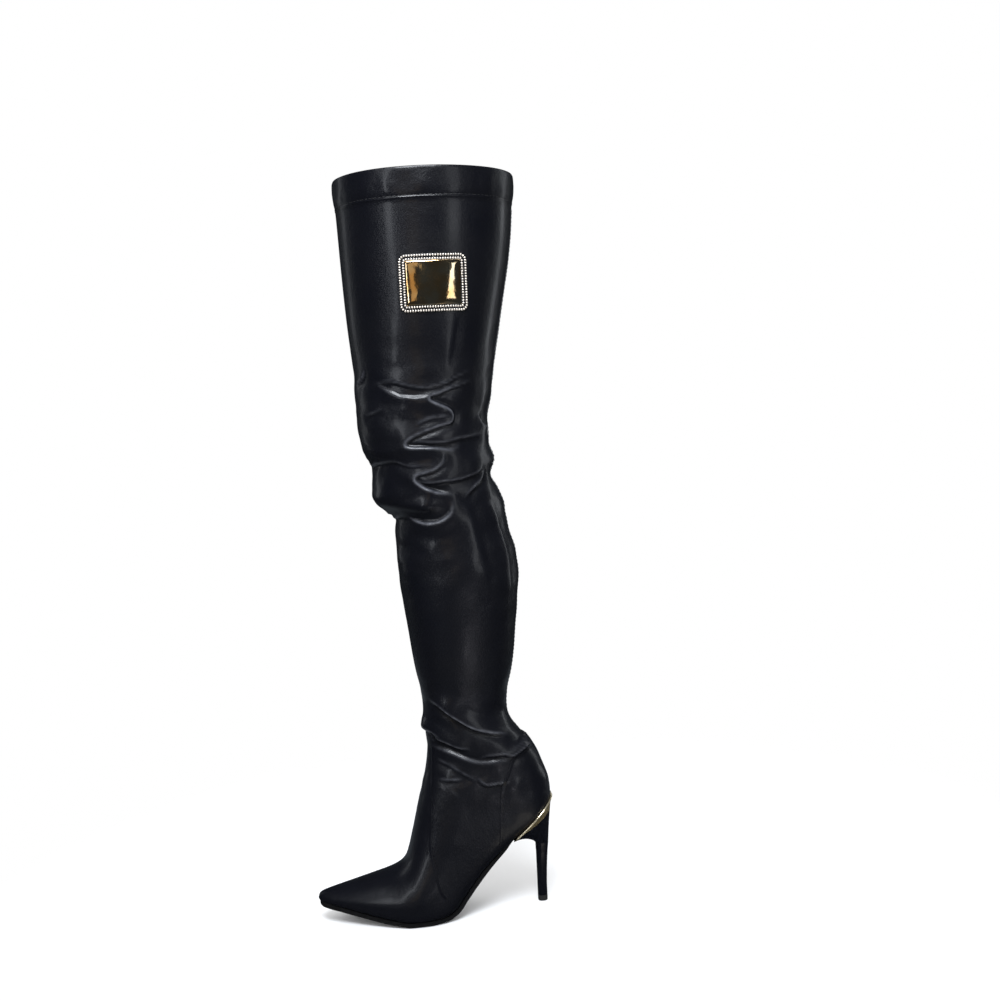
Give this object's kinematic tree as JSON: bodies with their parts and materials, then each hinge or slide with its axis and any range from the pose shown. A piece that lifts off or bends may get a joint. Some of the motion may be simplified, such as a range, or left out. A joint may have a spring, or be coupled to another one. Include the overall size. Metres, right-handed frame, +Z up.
{
  "type": "thigh high boot",
  "caption": "Left thigh-high boot with pointed toe, slim stiletto heel, inner ankle zip with a swinging pull tab, and a metal panel on the thigh.",
  "frame": {"origin": "middle of the heel tip's bottom face, on the floor", "axes": "-X toward the toe, +Y toward the inner side of the foot, +Z up along the shaft"},
  "size_m": [0.2368, 0.1554, 0.7181],
  "materials": {
    "upper_leather": "smooth black, soft gloss",
    "outsole": "black, fine texture",
    "sock": "matt dark sock lining",
    "heel_leather": "smooth black wrap, glossy",
    "heel_gold": "polished pale gold",
    "tip_rubber": "hard black top piece",
    "panel_gold": "mirror gold, padded, stitched edge",
    "zip_tape": "black woven tape",
    "zip_coil": "black nylon coil",
    "zip_metal": "polished pale gold"
  },
  "bodies": {
    "boot": {"upper": "upper_leather", "outsole": "outsole", "insole": "sock", "heel": "heel_leather", "heel_collar": "heel_gold", "heel_tip": "tip_rubber", "plaque": "panel_gold", "zip_tape": "zip_tape", "zip_teeth": "zip_coil", "zip_slider": "zip_metal"},
    "pull_tab": {"zip_pull": "zip_metal"}
  },
  "joints": [
    {"name": "pull_tab_hinge", "type": "hinge", "parent": "boot", "child": "pull_tab", "pos_m": [-0.05938, 0.04975, 0.2765], "axis": [0.9876, -0.1357, -0.0795], "range_deg": [0, 150]}
  ]
}
